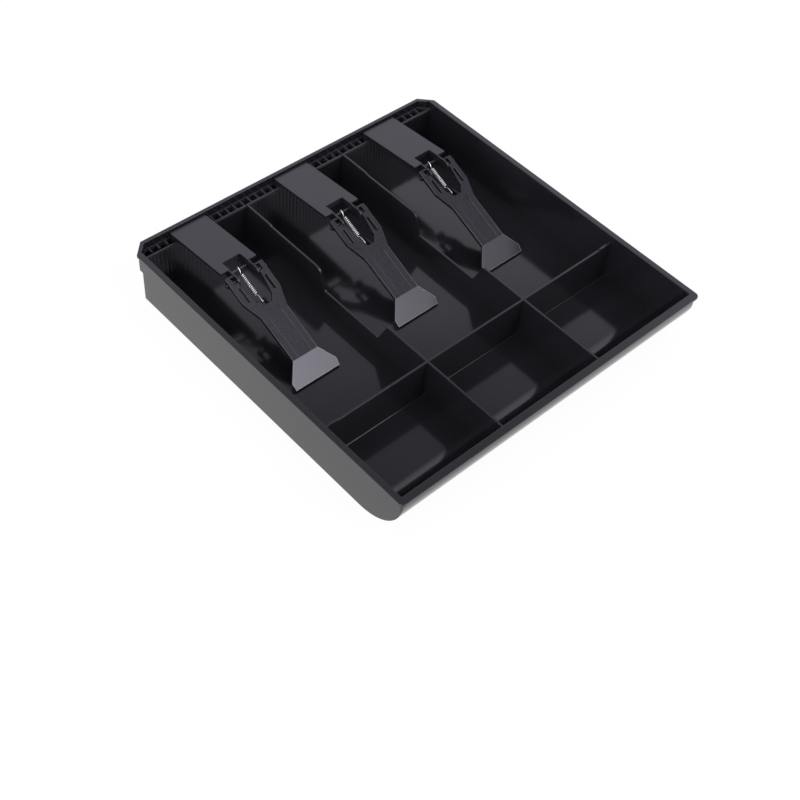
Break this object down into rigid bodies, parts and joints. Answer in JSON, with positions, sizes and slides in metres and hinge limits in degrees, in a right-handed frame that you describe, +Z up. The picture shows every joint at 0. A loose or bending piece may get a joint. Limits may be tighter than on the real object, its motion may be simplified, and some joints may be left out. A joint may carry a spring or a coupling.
{
  "type": "cash drawer insert",
  "caption": "Square black cash tray with bill bays, scooped coin cups, a comb along the back and hinged bill clips held shut by small extension springs.",
  "frame": {"origin": "middle of the tray's underside", "axes": "+X to the right, +Y to the back where the clips are held, +Z up"},
  "size_m": [0.245, 0.245, 0.0388],
  "materials": {
    "tray_plastic": "satin black moulding",
    "clip_plastic": "satin black moulding, fine grain",
    "spring_steel": "bright drawn wire"
  },
  "bodies": {
    "tray": {"tray": "tray_plastic", "left_clip_base": "clip_plastic", "middle_clip_base": "clip_plastic", "right_clip_base": "clip_plastic"},
    "left_arm": {"left_clip_arm": "clip_plastic"},
    "left_spring": {"left_clip_spring": "spring_steel"},
    "middle_arm": {"middle_clip_arm": "clip_plastic"},
    "middle_spring": {"middle_clip_spring": "spring_steel"},
    "right_arm": {"right_clip_arm": "clip_plastic"},
    "right_spring": {"right_clip_spring": "spring_steel"}
  },
  "joints": [
    {"name": "left_arm_hinge", "type": "hinge", "parent": "tray", "child": "left_arm", "pos_m": [-0.0812, 0.0613, 0.03474], "axis": [-1, 0, 0], "range_deg": [0, 95], "stiffness_Nm_per_rad": 0.004, "springref_deg": -45.84, "deforming": ["left_clip_spring"]},
    {"name": "left_spring_swing", "type": "hinge", "parent": "tray", "child": "left_spring", "pos_m": [-0.0812, 0.06903, 0.03416], "axis": [-1, 0, 0], "range_deg": [0, 68]},
    {"name": "middle_arm_hinge", "type": "hinge", "parent": "tray", "child": "middle_arm", "pos_m": [0, 0.0613, 0.03474], "axis": [-1, 0, 0], "range_deg": [0, 95], "stiffness_Nm_per_rad": 0.004, "springref_deg": -45.84, "deforming": ["middle_clip_spring"]},
    {"name": "middle_spring_swing", "type": "hinge", "parent": "tray", "child": "middle_spring", "pos_m": [0, 0.06903, 0.03416], "axis": [-1, 0, 0], "range_deg": [0, 68]},
    {"name": "right_arm_hinge", "type": "hinge", "parent": "tray", "child": "right_arm", "pos_m": [0.0754, 0.0613, 0.03474], "axis": [-1, 0, 0], "range_deg": [0, 95], "stiffness_Nm_per_rad": 0.004, "springref_deg": -45.84, "deforming": ["right_clip_spring"]},
    {"name": "right_spring_swing", "type": "hinge", "parent": "tray", "child": "right_spring", "pos_m": [0.0754, 0.06903, 0.03416], "axis": [-1, 0, 0], "range_deg": [0, 68]}
  ],
  "couplings": [
    {"joint": "left_spring_swing", "follows": "left_arm_hinge", "ratio": 0.7071},
    {"joint": "middle_spring_swing", "follows": "middle_arm_hinge", "ratio": 0.7071},
    {"joint": "right_spring_swing", "follows": "right_arm_hinge", "ratio": 0.7071}
  ]
}
